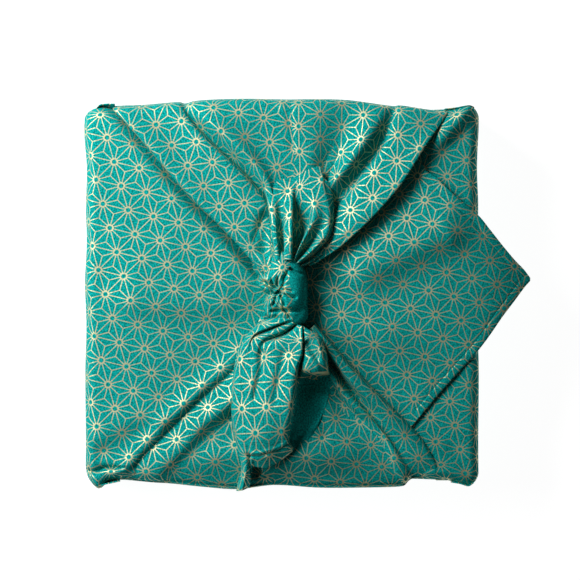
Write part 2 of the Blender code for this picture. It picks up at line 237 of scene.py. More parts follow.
def under_layer():
    """The flap and the panel from the right, round the whole box."""
    half = np.array([HALF_X, HALF_Y, TOP / 2])
    inner = half - ROUND

    def stations(axis, count, close_rows):
        """Where the rows of points lie across a face, closer together round its edges."""
        bend = [half[axis] - ROUND * share for share in (0.0, 0.18, 0.36, 0.54, 0.72, 0.88)]
        flat = list(np.linspace(-inner[axis], inner[axis], count))
        if close_rows:
            flat = sorted(flat + list(np.arange(*CLOSE_ROWS)))
        return np.array([-b for b in bend] + flat + bend[::-1])

    def place(p):
        """Where the cloth lies over points p on a sharp-edged box."""
        core = np.clip(p, -inner, inner)
        out = p - core
        reach = np.linalg.norm(out, axis=-1, keepdims=True)
        x, y, z = np.moveaxis(core + out / np.maximum(reach, 1e-9) * ROUND, -1, 0)
        z = z + TOP / 2
        lift = np.clip(z / TOP, 0, 1)
        z = z + settled(x, y) * past(p[..., 2], inner[2], ROUND)

        # the sides belly out, more so on the left near the back
        belly = 0.9 * np.sin(math.pi * lift)
        more = 0.9 * bell(y - 85, 14) * (p[..., 0] < 0)
        side = np.sign(p[..., 0]) * past(np.abs(p[..., 0]), inner[0], ROUND)
        x = x + side * (belly + lift * (waves(y, z * 0.4, seed=8, size=45, height=0.5) + more))
        side = np.sign(p[..., 1]) * past(np.abs(p[..., 1]), inner[1], ROUND)
        y = y + side * (belly + lift * waves(x, z * 0.4, seed=9, size=45, height=0.4))

        # they are drawn in where the panels are tied over them, and stand out at the corners
        back = 1.6 * bell(x + 97, 6) + 2.2 * bell(x - 101, 6) - 2.2
        front = 5.2 * bell(x + 102, 5) + 3.0 * bell(x - 101, 7) - 2.6
        y = y + np.sign(y) * past(np.abs(y), 90, 10) * np.where(y > 0, back, front)
        # the front left corner is pulled in, so that it is round
        x = x + 2.4 * past(-y, 92, 12) ** 1.4 * past(-x, 86, 16)
        return np.stack([x, y, z], axis=-1)

    for axis in (2, 0, 1):
        a, b = [i for i in range(3) if i != axis]
        for sign in (1, -1):
            base = axis == 2 and sign < 0
            n = BASE_POINTS if base else POINTS
            rows = [stations(i, n[i], i == 1 and not base) for i in (a, b)]
            u, v = np.meshgrid(*rows, indexing="ij")
            p = np.empty(u.shape + (3,))
            p[..., axis], p[..., a], p[..., b] = sign * half[axis], u, v
            flat = p[..., :2].copy()
            if axis < 2:
                flat[..., axis] = sign * (half[axis] + half[2] - p[..., 2])
            grid = place(p)
            # all that shows of it on the right is the panel from the right, and on the left the flap
            uv = np.where(p[..., :1] > RIGHT_FROM, printed(flat, "under"), printed(flat, "flap"))
            if (sign > 0) == (axis == 1):
                grid, uv = grid[::-1], uv[::-1]
            cloth.lay(grid, uv)


def soft_curve(points, steps):
    """Points along the first axis joined by a smooth curve; steps is for each gap, or a list of them."""
    p = np.asarray(points, float)
    gap = np.maximum(np.linalg.norm(np.diff(p, axis=0), axis=-1, keepdims=True), 1e-6) ** 0.5
    chord = np.diff(p, axis=0) / gap
    slope = np.empty_like(p)
    slope[0], slope[-1] = chord[0], chord[-1]
    w = gap[:-1] / (gap[:-1] + gap[1:])
    slope[1:-1] = chord[:-1] * (1 - w) + chord[1:] * w
    out = [p[:1]]
    for i in range(len(p) - 1):
        n = steps[i] if hasattr(steps, "__len__") else steps
        f = (np.arange(1, n + 1) / n).reshape(-1, *([1] * (p.ndim - 1)))
        # the cubic's shares of the gap's two ends, then of the slopes there
        first, last = 2 * f**3 - 3 * f**2 + 1, -2 * f**3 + 3 * f**2
        leaving, coming = f**3 - 2 * f**2 + f, f**3 - f**2
        bend = (leaving * slope[i] + coming * slope[i + 1]) * gap[i]
        out.append(first * p[i] + last * p[i + 1] + bend)
    return np.concatenate(out)


def lip(side, *crest):
    """A fold of the cloth that stands off the back (1) or front (-1) edge, with a dark gap behind it."""
    x, y, z = soft_curve(crest, steps=6).T
    rows = [np.stack([x, y + side * out, TOP + z + over], axis=-1) for out, over in LIP_PROFILE]
    grid = np.stack(rows)[::-side]
    cloth.lay(grid, printed(grid[..., :2], "flap"))


under_layer()
for row in LIPS:
    lip(*row)

# ----------------------------------------------------------------------
# The flap's corner: a corner of the square cloth, with a narrow hem turned under and sewn down along its two
# edges. It comes over from the left under the knot, lies loose on the panel from the right, and its tip
# overhangs the box and droops.
LATTICE["flap_corner"] = (-13.8, (65.3, 5.7), 1.01, 0.97)
FLAP = (
    # along the flap: x, back edge y and z, front edge y and z, middle z
    (-6.0, 60.0, 0.6, -50.0, 0.2, 0.8),
    (22.0, 88.0, 0.8, -70.0, 0.2, 1.0),
    (46.0, 92.0, 1.0, -84.0, 0.4, 1.4),
    (68.2, 80.0, 1.1, -72.2, 1.3, 1.7),
    (74.0, 74.0, 1.2, -66.0, 1.5, 1.9),
    (78.0, 67.2, 1.6, -61.8, 1.5, 2.0),
    (83.6, 63.2, 1.8, -54.9, 1.4, 2.1),
    (90.2, 56.6, 2.6, -47.5, 1.5, 2.0),
    (95.0, 52.2, 2.4, -42.2, 1.5, 1.9),
    (106.4, 42.6, 1.2, -29.4, 1.2, 1.3),
    (112.5, 35.2, 0.3, -21.4, 0.4, 0.6),
    (119.3, 26.8, -1.2, -11.7, -1.1, -0.9),
    (126.0, 19.0, -3.2, -3.0, -3.1, -2.9),
    (131.2, 13.8, -5.2, 3.8, -5.1, -4.9),
    (134.6, 9.4, -6.4, 7.6, -6.4, -6.3),
)
# points along the flap between two rows of the table, and the first point where the hem shows
ALONG_FLAP, HEM_SHOWS = 9, 40
# how far from an edge the rows of points across the hem lie, and how many rows there are between the hems
HEM_ROWS, BETWEEN_HEMS = np.array([0.0, 0.15, 0.5, 1.3, 2.5, 3.5, 3.8, 4.05, 4.3, 4.55, 4.8, 5.4]), 54
# the hem: where its two thicknesses end, where it is sewn, how soft both are, and how wide it is underneath
HEM_END, SEWN, SOFT, TURNED_UNDER = 4.3, 4.25, 0.4, 4.6
OVER_BACK = [(30.0, 6.0), (52.0, 17.0), (76.0, 28.0), (104.0, 41.0)]
BELOW_KNOT = [(8.0, -8.0), (30.0, -16.0), (56.0, -24.0), (80.0, -34.0)]
# where the print eases from the flap's angle into the corner's, from this X on and over this far, and the row
# and column of a point where the two prints have to meet
EASES_FROM, EASES_OVER, PRINTS_MEET = -4, 32, (30, 60)


def flap():
    """The flap's corner with its two hems."""
    x, back_y, back_z, front_y, front_z, mid_z = soft_curve(FLAP, ALONG_FLAP).T
    width = np.maximum(back_y - front_y, 0.1)

    # rows of points run along both edges, close together over the hem, and evenly spaced between the hems
    slant = [np.sqrt(1 + np.gradient(edge, x) ** 2) for edge in (back_y, front_y)]
    off = [HEM_ROWS[:, None] * np.minimum(k, 0.46 * width / HEM_ROWS[-1]) for k in slant]
    start, end = back_y - off[0][-1], front_y + off[1][-1]
    between = start + (end - start) * np.linspace(0, 1, BETWEEN_HEMS + 2)[1:-1, None]
    y = np.concatenate([back_y - off[0], between, (front_y + off[1])[::-1]])
    share = (back_y - y) / width
    arch = np.sin(math.pi * np.clip(share, 0, 1)) ** 1.2
    z = back_z + (front_z - back_z) * share + (mid_z - (back_z + front_z) / 2) * arch
    x = np.broadcast_to(x, y.shape)

    z = z + waves(x, y, seed=21, size=46, height=0.28) + waves(x, y, seed=22, size=18, height=0.06)
    # it lies over two swells, beside the back panel and below the knot
    z = z + swell(x, y, OVER_BACK, height=4.6, left=16.0, right=10.0)
    z = z + fold(x, y, BELOW_KNOT, height=2.6, width=11.0, ends=(0.1, 0.4))

    # the hem has two thicknesses as far as its sewn line, and the two hems cross at the corner
    edges = [np.stack([x[0], edge], axis=-1)[HEM_SHOWS:] for edge in (back_y, front_y)]
    reach = [np.abs(along_line(x, y, edge)[0]) for edge in edges]
    for d in reach:
        z = z + 0.06 * past(d, HEM_END, -SOFT) - 0.2 * bell(d - SEWN, SOFT)
    z = z - 0.5 * past(np.minimum(*reach), 0.9, -0.9) ** 2
    top = np.stack([x, y, z], axis=-1)

    def hem_under(edge, inwards, share):
        """The row of the hem's underside that lies this share of its width in from the edge."""
        under = inwards * share * np.minimum(TURNED_UNDER, width * 0.4)
        below = np.full(under.shape, -0.35 - 0.15 * share)
        return edge + np.stack([0 * under, under, below], axis=-1)

    back_hem = [hem_under(top[0], -1, share) for share in (1.0, 0.5, 0.1)]
    front_hem = [hem_under(top[-1], 1, share) for share in (0.1, 0.5, 1.0)]
    grid = np.concatenate([back_hem, top, front_hem])
    grid[..., 2] += TOP

    # the print of the corner is moved by whole rows and stars, to meet that of the flap where both are seen
    flat = grid[..., :2]
    left, right = printed(flat, "flap"), printed(flat, "flap_corner")
    step = left[PRINTS_MEET] - right[PRINTS_MEET]
    rows = np.round(step[1] / ROW)
    right = right + np.array([np.round(step[0] - rows / 2) + rows / 2, rows * ROW])
    cloth.lay(grid, left + (right - left) * eased(past(flat[..., :1], EASES_FROM, EASES_OVER)))


flap()

# ----------------------------------------------------------------------
# The back and front panels: the same cotton, brought up from under the box, over its edge, and drawn by hand
# into the knot, which holds them. They stand in folds that narrow towards the knot, and their sides are
# folded under.
LATTICE.update({
    "back_1": (-52.3, (-59.3, 80.8), 1.0, 1.0),
    "back_2": (-12.0, (-19.3, 85.2), 1.0, 1.0),
    "back_3": (-31.0, (31.9, 77.0), 0.97, 0.97),
    "back_4": (-33.0, (62.3, 86.2), 1.0, 1.0),
    "front_1": (16.0, (-56.8, -78.0), 1.0, 1.0),
    "front_2": (-18.0, (-35.9, -90.1), 1.0, 1.0),
    "front_3": (-8.0, (29.9, -65.9), 1.0, 1.0),
    "front_4": (-1.0, (46.3, -63.6), 1.0, 1.0),
})
BACK = (
    # a fold line: x at the base, then (x, y, z) where it turns the edge, at three places over the top, and in
    # the knot, with z over the top of the box
    (-95.0, (-86.5, 101.0, 0.2), (-70.0, 79.0, -0.2), (-47.5, 52.5, 0.0), (-26.0, 31.5, 0.6),
     (-8.0, 10.0, 3.0)),
    (-101.0, (-91.3, 101.9, 1.3), (-73.8, 80.8, 1.5), (-51.2, 54.4, 1.6), (-28.2, 31.7, 1.8),
     (-10.2, 11.4, 5.0)),
    (-100.0, (-90.4, 102.2, 2.6), (-72.9, 81.6, 3.3), (-50.2, 55.3, 3.7), (-27.2, 32.7, 4.6),
     (-9.2, 12.0, 7.2)),
    (-80.0, (-74.0, 102.9, 2.4), (-60.0, 84.0, 2.8), (-39.0, 59.0, 3.2), (-19.5, 36.0, 4.8),
     (-7.0, 12.5, 8.5)),
    (-57.0, (-55.4, 104.4, 3.6), (-45.0, 87.4, 5.6), (-18.6, 61.8, 6.4), (-8.6, 48.6, 5.4),
     (-5.4, 13.6, 9.6)),
    (-55.0, (-52.8, 103.6, 0.9), (-42.4, 88.4, 0.6), (-16.6, 63.4, 1.2), (-7.2, 49.8, 2.6),
     (-4.4, 14.0, 9.8)),
    (-50.0, (-47.0, 105.0, 3.2), (-37.4, 91.6, 5.4), (-13.2, 68.0, 6.2), (-4.9, 51.8, 5.2),
     (-3.6, 14.4, 9.8)),
    (-24.0, (-24.0, 106.2, 3.0), (-17.0, 87.5, 3.6), (-4.5, 66.0, 3.6), (-2.6, 48.0, 3.4),
     (-2.6, 14.6, 9.8)),
    (4.0, (4.0, 105.8, 3.0), (5.6, 87.0, 3.4), (6.6, 68.0, 3.4), (2.0, 44.0, 3.4),
     (-0.6, 15.0, 9.6)),
    (20.0, (18.5, 106.0, 3.8), (17.0, 86.5, 4.0), (14.5, 67.0, 4.2), (5.6, 42.0, 4.0),
     (2.0, 15.0, 9.6)),
    (37.0, (36.0, 105.4, 1.8), (32.6, 87.0, 1.6), (26.2, 69.5, 0.6), (10.5, 42.0, 3.0),
     (3.4, 19.0, 7.4)),
    (56.0, (54.5, 103.0, 4.6), (46.6, 86.0, 7.0), (34.0, 68.0, 7.4), (14.0, 42.0, 2.6),
     (5.2, 18.6, 9.5)),
    (64.0, (60.8, 102.2, 1.6), (54.6, 83.5, 0.8), (41.4, 64.5, 0.7), (22.0, 39.0, 1.6),
     (7.4, 17.8, 6.0)),
    (67.0, (63.4, 102.6, 3.2), (57.2, 82.6, 3.6), (44.2, 62.6, 4.0), (24.4, 37.0, 4.6),
     (9.0, 17.4, 7.6)),
    (84.0, (80.6, 100.2, 4.0), (71.0, 82.6, 5.6), (55.4, 58.8, 7.4), (29.8, 31.6, 8.8),
     (12.0, 17.0, 7.4)),
    (100.0, (89.4, 99.9, 2.8), (77.8, 81.2, 6.4), (61.2, 56.0, 8.4), (33.0, 27.4, 9.0),
     (15.2, 15.4, 6.6)),
    (100.5, (88.2, 99.6, 0.6), (76.0, 81.8, 1.4), (59.4, 56.8, 2.2), (31.0, 28.2, 2.6),
     (14.0, 15.0, 5.0)),
    (95.0, (83.0, 99.6, 0.2), (70.5, 82.0, 0.4), (54.5, 57.5, 0.6), (27.0, 30.0, 1.0),
     (11.0, 14.0, 4.0)),
)
FRONT = (
    (-93.0, (-89.0, -99.8, -0.8), (-61.6, -70.4, -0.6), (-44.6, -54.0, -0.4), (-26.2, -39.0, 0.2),
     (-11.0, -11.0, 2.0)),
    (-90.0, (-85.4, -99.9, 0.2), (-60.6, -73.4, 0.3), (-43.6, -57.4, 0.4), (-25.4, -42.4, 0.8),
     (-10.0, -12.4, 3.0)),
    (-75.0, (-69.6, -101.4, 2.6), (-55.2, -83.2, 3.0), (-42.2, -69.6, 3.7), (-25.2, -55.2, 4.8),
     (-9.0, -13.6, 8.0)),
    (-65.0, (-61.6, -101.8, 0.6), (-48.8, -85.4, 0.6), (-37.2, -73.6, 0.6), (-24.6, -61.8, 0.6),
     (-7.4, -14.2, 5.4)),
    (-44.0, (-42.0, -103.8, 0.6), (-37.0, -88.0, 2.4), (-29.6, -77.0, 0.6), (-19.0, -63.0, 0.6),
     (-5.0, -14.8, 6.4)),
    (-24.0, (-24.0, -105.0, 0.6), (-22.0, -88.0, 2.6), (-18.0, -74.0, 0.9), (-12.0, -58.0, 1.8),
     (-2.4, -15.2, 6.0)),
    (-6.0, (-5.0, -102.8, 0.8), (-2.0, -87.0, 3.6), (0.0, -72.0, 2.0), (2.0, -56.0, 2.4),
     (1.4, -15.6, 6.0)),
    (22.0, (20.0, -104.2, 0.8), (19.0, -88.0, 5.0), (19.0, -74.0, 4.6), (17.0, -55.0, 2.0),
     (4.6, -15.6, 5.0)),
    (44.0, (41.0, -104.2, 1.0), (37.0, -86.0, 3.2), (27.5, -66.4, 2.2), (21.6, -48.6, 0.8),
     (8.6, -17.0, 3.0)),
    (66.0, (64.8, -103.4, 1.0), (50.8, -75.2, 1.0), (34.6, -60.2, 0.4), (25.6, -46.4, 0.2),
     (11.8, -19.0, 3.0)),
    (67.5, (66.6, -102.8, 1.8), (53.2, -73.8, 2.6), (36.8, -58.6, 4.6), (27.4, -45.0, 5.6),
     (13.0, -18.8, 6.8)),
    (69.0, (68.6, -100.6, 2.0), (57.4, -78.0, 2.8), (43.0, -61.2, 4.2), (30.0, -45.0, 4.4),
     (13.6, -18.4, 6.0)),
    (71.0, (70.6, -99.4, 0.8), (63.0, -83.0, 0.9), (49.0, -64.6, 0.6), (32.4, -44.8, 0.4),
     (14.4, -18.2, 3.6)),
    (86.0, (84.4, -99.8, 1.4), (72.0, -80.4, 3.4), (56.8, -64.4, 6.2), (35.2, -43.8, 9.8),
     (15.8, -17.4, 10.2)),
    (101.0, (87.4, -100.2, 0.9), (74.8, -78.6, 2.6), (59.8, -62.8, 5.2), (38.2, -41.4, 9.0),
     (17.0, -16.4, 9.0)),
    (101.5, (88.2, -100.2, 0.2), (75.8, -78.0, 0.2), (60.8, -62.0, 0.6), (39.4, -40.2, 1.0),
     (17.8, -15.8, 3.6)),
    (95.0, (83.2, -100.2, 0.2), (70.2, -81.5, 0.2), (55.6, -66.2, 0.4), (35.4, -42.4, 0.6),
     (14.0, -18.9, 3.0)),
)
# points from one fold line to the next, and along each gap of a line from the foot into the knot
ACROSS = 9
UP_AND_OVER = [5, 6, 3, 3, 12, 18, 18, 16]
# the point along the lines, just inside the edge, where the print is in its place
PRINT_STARTS = 35


def unrolled(grid, middle, start):
    """Where the points of a folded grid, [across, along], lie on the flat cloth, starting from its plan."""
    plan = grid[..., :2]
    across = plan[-1] - plan[0]
    across /= np.maximum(np.linalg.norm(across, axis=-1, keepdims=True), 1e-6)
    length = np.zeros(grid.shape[:2])
    length[1:] = np.cumsum(np.linalg.norm(np.diff(grid, axis=0), axis=-1), axis=0)
    length -= length[middle]
    reach = ((plan - plan[middle]) * across).sum(-1)
    flat = plan + across * (length - reach)[..., None]
    along = np.gradient(plan[middle], axis=0)[start]
    along = along / np.linalg.norm(along)
    line = np.zeros(grid.shape[1])
    line[1:] = np.cumsum(np.linalg.norm(np.diff(grid[middle], axis=0), axis=-1))
    line -= line[start]
    went = ((plan[middle] - plan[middle, start]) * along).sum(-1)
    return flat + along * (line - went)[None, :, None]


def pleated(table, steps, across):
    """A grid of points through the fold lines of a table, with steps along them and across points between."""
    along = soft_curve(np.array(table, float).transpose(1, 0, 2), steps).transpose(1, 0, 2)
    return soft_curve(along, across)


def print_rows(grid, prints, across, start):
    """Print coordinates for each row of faces; prints has a panel, and the fold lines it goes from and to."""
    rows = []
    for panel, first, last in prints:
        part = grid[first * across : last * across + 1]
        coords = printed(unrolled(part, (last - first) * across // 2, start), panel)
        rows += list(zip(coords[:-1], coords[1:]))
    return rows


def tied_panel(table, side, prints, seed, creases):
    """The back (side 1) or front (-1) panel, from its foot at the base into the knot."""
    lines = []
    for foot_x, (x, y, z), *top in table:
        # at the base, on the side, under the edge, over it, and just inside it, then as the table says
        lines.append([
            (foot_x, y + side * 0.4, 0.3),
            (foot_x * 0.45 + x * 0.55, y + side * 0.9, 20.0),
            (x, y, TOP - 5.0),
            (x, y - side * 1.8, TOP - 1.0 + z * 0.7),
            (x - (x - top[0][0]) * 0.25, y - side * 6.5, TOP + z),
            *[(px, py, TOP + pz) for px, py, pz in top],
        ])
    grid = pleated(lines, UP_AND_OVER, ACROSS)
    x, y = grid[..., 0], grid[..., 1]
    # towards the front edge it lies lower
    grid[..., 2] -= 2.6 * (past(-y, 84, 18) * (grid[..., 2] > TOP - 3)) ** 1.5
    for line, height, width in creases:
        grid[..., 2] += fold(x, y, line, height, width)

    # small pleats grow towards the knot, and both fade at the folded sides
    toward_knot = past(np.arange(grid.shape[1]), 30, 50) ** 1.5
    place = np.arange(grid.shape[0])[:, None] / ACROSS
    pleats = 0.35 * np.sin(2 * math.pi * place * 1.15 + seed) * toward_knot
    inside = past(place, 0, 1.5) * past(place, len(table) - 1, -1.5)
    grid[..., 2] += (pleats + waves(x, y, seed, size=30, height=0.22)) * inside

    uv = print_rows(grid, prints, ACROSS, PRINT_STARTS)
    if side > 0:
        grid, uv = grid[::-1], [(far, near) for near, far in uv[::-1]]
    cloth.lay(grid, uv)


back_prints = [("back_1", 0, 4), ("back_2", 4, 8), ("back_3", 8, 12), ("back_4", 12, 17)]
tied_panel(BACK, 1, back_prints, seed=31, creases=[
    # a crease: where it runs, its height, its width
    ([(3.4, 107.0), (4.6, 92.0), (6.0, 76.0)], -1.0, 1.3),
    ([(0.4, 106.0), (2.4, 98.0)], 0.9, 1.3),
    ([(-8.2, 47.5), (-12.4, 37.5), (-16.6, 26.0)], -1.4, 1.2),
    ([(-7.4, 46.0), (-8.6, 32.0), (-7.6, 20.0)], -4.0, 4.6),
])
front_prints = [("front_1", 0, 3), ("front_2", 3, 6), ("front_3", 6, 9), ("front_4", 9, 16)]
tied_panel(FRONT, -1, front_prints, seed=32, creases=[
    ([(8.0, -58.0), (20.0, -66.0), (24.0, -80.0)], -0.8, 3.0),
    ([(-15.2, -90.0), (-13.8, -95.0), (-13.4, -99.0)], -4.0, 1.8),
])

# ----------------------------------------------------------------------
# The two ears of the knot: the corners of the back and front panels, hemmed cotton that is pleated where it
# leaves the knot. The shorter opens towards the back and its end lies on the panel. The longer hangs over the
# front edge, and beside its flat face is a crumpled lobe.
LATTICE["back_ear"] = (14.6, (17.4, 49.0), 1.0, 1.0)
LATTICE["front_ear"] = (4.0, (-8.2, -59.9), 1.02, 1.12)
BACK_EAR = (
    # a pleat line: points (x, y, z) from the knot to the end of the ear, with z over the top of the box
    ((-4.3, 17.4, 9.0), (-4.6, 24.3, 4.0), (-5.8, 35.1, 3.0),
     (-7.4, 44.8, 2.8), (-8.8, 52.4, 2.6), (-10.8, 61.0, 2.0)),
    ((-3.4, 18.4, 14.0), (-3.9, 24.3, 13.5), (-5.2, 35.1, 11.5),
     (-6.6, 44.8, 8.0), (-7.8, 52.4, 5.0), (-9.8, 61.5, 2.6)),
    ((-1.2, 18.8, 14.5), (-2.0, 24.3, 13.8), (-3.1, 35.1, 12.0),
     (-3.4, 44.8, 8.6), (-4.2, 52.4, 5.6), (-6.0, 62.0, 2.8)),
    ((-0.5, 18.8, 12.0), (-1.1, 24.3, 8.5), (-1.9, 35.1, 7.4),
     (-1.6, 44.2, 6.6), (-1.6, 52.4, 5.4), (-2.4, 62.5, 2.9)),
    ((0.5, 18.8, 12.0), (0.8, 24.3, 8.5), (0.5, 35.1, 7.4),
     (0.5, 44.2, 7.0), (0.5, 52.4, 5.8), (0.2, 62.5, 3.0)),
    ((1.1, 18.8, 15.0), (1.5, 24.3, 15.0), (1.3, 35.1, 13.2),
     (1.5, 44.8, 9.6), (2.0, 52.4, 6.2), (2.4, 63.0, 3.1)),
    ((4.9, 18.8, 16.0), (5.2, 24.3, 16.0), (5.4, 35.1, 15.0),
     (5.6, 44.8, 11.6), (5.7, 52.4, 7.2), (6.2, 63.5, 3.3)),
    ((5.7, 17.8, 10.0), (5.9, 24.3, 5.0), (6.1, 35.1, 3.8),
     (6.3, 44.8, 3.6), (6.9, 52.0, 5.2), (8.2, 64.5, 4.2)),
    ((6.2, 17.8, 10.0), (7.9, 24.0, 5.4), (11.6, 34.2, 4.8),
     (13.6, 42.6, 5.4), (13.0, 52.0, 6.2), (11.4, 66.0, 5.0)),
    ((6.5, 18.4, 15.0), (9.0, 24.6, 15.5), (14.2, 35.0, 14.0),
     (17.2, 42.0, 11.2), (17.3, 51.3, 8.0), (16.2, 68.4, 5.4)),
    ((7.0, 17.6, 11.0), (10.8, 22.6, 9.5), (17.4, 31.0, 9.5),
     (21.6, 37.8, 9.4), (22.4, 48.6, 8.4), (20.4, 69.0, 5.6)),
    ((8.1, 17.0, 14.5), (13.0, 21.2, 15.0), (19.4, 27.0, 13.9),
     (24.4, 33.0, 11.6), (26.2, 44.2, 8.6), (22.4, 63.4, 5.4)),
    ((8.6, 16.2, 9.5), (14.6, 19.1, 8.0), (20.5, 23.6, 7.5),
     (25.9, 30.4, 7.2), (27.5, 43.0, 6.6), (25.9, 59.9, 5.0)),
    ((9.2, 15.2, 11.5), (15.7, 18.1, 10.0), (21.6, 22.2, 9.0),
     (26.5, 28.8, 7.0), (28.1, 41.6, 5.6), (27.0, 57.8, 4.2)),
    ((8.6, 14.6, 7.0), (14.6, 16.7, 5.5), (20.5, 20.5, 4.8),
     (24.8, 27.0, 4.2), (26.5, 41.0, 3.6), (25.4, 57.2, 3.2)),
)
FRONT_EAR = (
    ((3.2, -14.6, 8.0), (-8.6, -16.7, 3.5), (-16.2, -23.2, 2.6),
     (-22.1, -32.4, 2.2), (-24.8, -45.9, 2.0), (-25.4, -63.2, 1.6),
     (-23.8, -76.7, 1.4), (-21.6, -92.5, 1.2), (-23.2, -101.0, -4.0)),
    ((2.4, -12.6, 10.0), (-9.7, -14.0, 6.5), (-18.4, -21.1, 5.0),
     (-24.0, -30.8, 4.0), (-26.5, -45.4, 3.2), (-27.3, -63.2, 2.8),
     (-25.6, -76.1, 2.6), (-22.0, -92.0, 2.6), (-24.8, -105.6, -3.0)),
    ((2.6, -11.8, 12.5), (-8.6, -13.2, 10.0), (-17.0, -20.2, 8.6),
     (-22.4, -30.2, 8.0), (-25.1, -45.4, 7.6), (-25.9, -63.2, 7.4),
     (-24.3, -76.7, 7.0), (-21.3, -92.4, 5.2), (-24.2, -105.8, 0.6)),
    ((3.4, -12.4, 14.0), (-5.9, -14.8, 13.0), (-14.6, -19.6, 11.2),
     (-20.2, -30.2, 10.0), (-23.0, -45.6, 9.4), (-23.8, -63.2, 9.4),
     (-22.4, -76.7, 8.8), (-20.4, -92.6, 6.6), (-22.8, -105.6, 3.4)),
    ((4.2, -13.2, 14.4), (-4.9, -16.6, 13.6), (-15.6, -21.8, 11.6),
     (-18.9, -31.0, 10.5), (-21.3, -45.9, 10.0), (-21.9, -63.2, 10.1),
     (-21.1, -77.0, 9.6), (-19.4, -92.6, 7.4), (-21.2, -105.2, 4.4)),
    ((4.8, -13.9, 8.6), (-4.4, -17.4, 8.4), (-15.2, -22.5, 10.4),
     (-17.8, -31.6, 10.8), (-20.2, -45.9, 10.4), (-20.8, -63.2, 10.6),
     (-20.0, -77.2, 10.0), (-18.4, -92.4, 7.2), (-19.6, -104.6, 3.2)),
    ((5.6, -14.6, 14.2), (-3.6, -18.3, 12.8), (-13.0, -23.9, 11.8),
     (-16.2, -32.4, 11.4), (-18.4, -46.2, 11.2), (-18.9, -63.5, 11.6),
     (-18.1, -77.5, 10.8), (-17.4, -91.4, 6.0), (-17.4, -103.2, -1.5)),
    ((6.6, -15.2, 14.2), (-0.3, -19.7, 13.4), (-10.8, -24.3, 12.2),
     (-14.3, -33.2, 12.0), (-16.5, -46.4, 12.0), (-16.7, -63.7, 12.6),
     (-16.2, -77.8, 11.8), (-16.2, -86.6, 9.6), (-16.4, -93.4, 5.2)),
    ((8.0, -15.6, 9.0), (1.6, -20.4, 8.6), (-9.6, -25.6, 11.0),
     (-12.4, -34.0, 12.4), (-14.6, -46.7, 12.6), (-14.9, -63.7, 13.2),
     (-14.3, -78.0, 12.2), (-14.4, -86.2, 10.2), (-15.7, -92.3, 5.0)),
    ((8.8, -16.0, 14.0), (3.9, -21.1, 14.4), (-6.5, -26.7, 13.6),
     (-9.2, -34.6, 13.4), (-11.6, -47.0, 13.6), (-12.2, -64.0, 14.2),
     (-11.9, -78.6, 12.8), (-12.2, -86.2, 10.6), (-13.0, -92.6, 5.8)),
    ((9.6, -16.2, 14.8), (7.8, -22.4, 16.2), (0.5, -28.4, 15.4),
     (-3.2, -35.6, 15.4), (-5.9, -47.5, 15.4), (-7.3, -64.3, 15.8),
     (-7.6, -78.8, 13.4), (-7.8, -86.0, 10.8), (-8.4, -92.9, 6.0)),
    ((10.0, -16.4, 15.2), (9.7, -23.0, 16.9), (6.2, -30.0, 16.8),
     (3.2, -37.0, 16.8), (0.5, -48.0, 16.7), (-1.4, -64.3, 16.6),
     (-2.4, -78.3, 13.2), (-2.2, -83.6, 10.6), (-1.6, -89.6, 6.2)),
    ((10.8, -16.4, 15.2), (10.8, -23.2, 17.2), (10.5, -30.8, 17.8),
     (7.8, -38.9, 17.8), (6.2, -48.0, 17.6), (4.0, -63.7, 17.0),
     (2.2, -76.7, 13.0), (3.8, -80.8, 10.4), (4.9, -84.8, 6.4)),
    ((11.2, -16.8, 12.0), (11.4, -23.8, 13.0), (11.2, -31.9, 12.6),
     (9.6, -38.6, 9.0), (8.2, -49.1, 11.5), (6.0, -64.3, 12.5),
     (4.1, -77.2, 7.0), (5.4, -80.4, 6.2), (6.5, -83.2, 5.4)),
    ((11.6, -16.6, 14.0), (12.4, -22.1, 16.2), (12.5, -29.7, 16.2),
     (11.2, -40.0, 15.0), (11.2, -45.1, 7.8), (9.5, -63.2, 10.2),
     (7.6, -75.1, 7.4), (8.0, -78.2, 4.9), (8.4, -81.0, 4.8)),
    ((12.0, -17.0, 13.6), (16.2, -21.1, 15.8), (18.4, -27.5, 16.6),
     (18.9, -41.0, 16.0), (18.0, -45.6, 4.4), (15.6, -62.6, 6.0),
     (12.2, -74.0, 5.6), (10.4, -76.8, 4.4), (10.0, -79.4, 4.4)),
    ((12.4, -17.4, 12.0), (18.9, -21.3, 14.5), (22.1, -28.1, 15.4),
     (23.8, -40.0, 14.6), (25.4, -45.4, 1.8), (21.4, -61.6, 3.0),
     (16.4, -72.9, 5.0), (15.0, -75.4, 5.0), (13.4, -77.8, 5.0)),
    ((12.4, -17.8, 9.5), (19.7, -22.1, 9.0), (23.5, -29.2, 10.0),
     (25.1, -40.5, 9.6), (27.0, -45.9, 1.2), (23.0, -61.6, 2.7),
     (17.8, -73.4, 4.2), (16.2, -76.0, 4.4), (14.4, -78.3, 4.4)),
    ((11.6, -18.0, 7.0), (18.4, -23.2, 5.0), (21.6, -29.7, 4.4),
     (23.2, -40.0, 3.8), (25.4, -45.4, 0.6), (21.6, -61.0, 0.6),
     (16.4, -72.9, 1.8), (14.8, -75.2, 2.6), (13.2, -77.2, 2.6)),
)
# points from one pleat line to the next
ACROSS_EAR = 6
# painted shade: the parts that lie turned away from the light are drawn as the cloth's plain reverse, with no
# foil; their print coordinates lie this far off, which the cotton's material looks for
PLAIN_IN_SHADE = np.array([1000.0, 0.0])


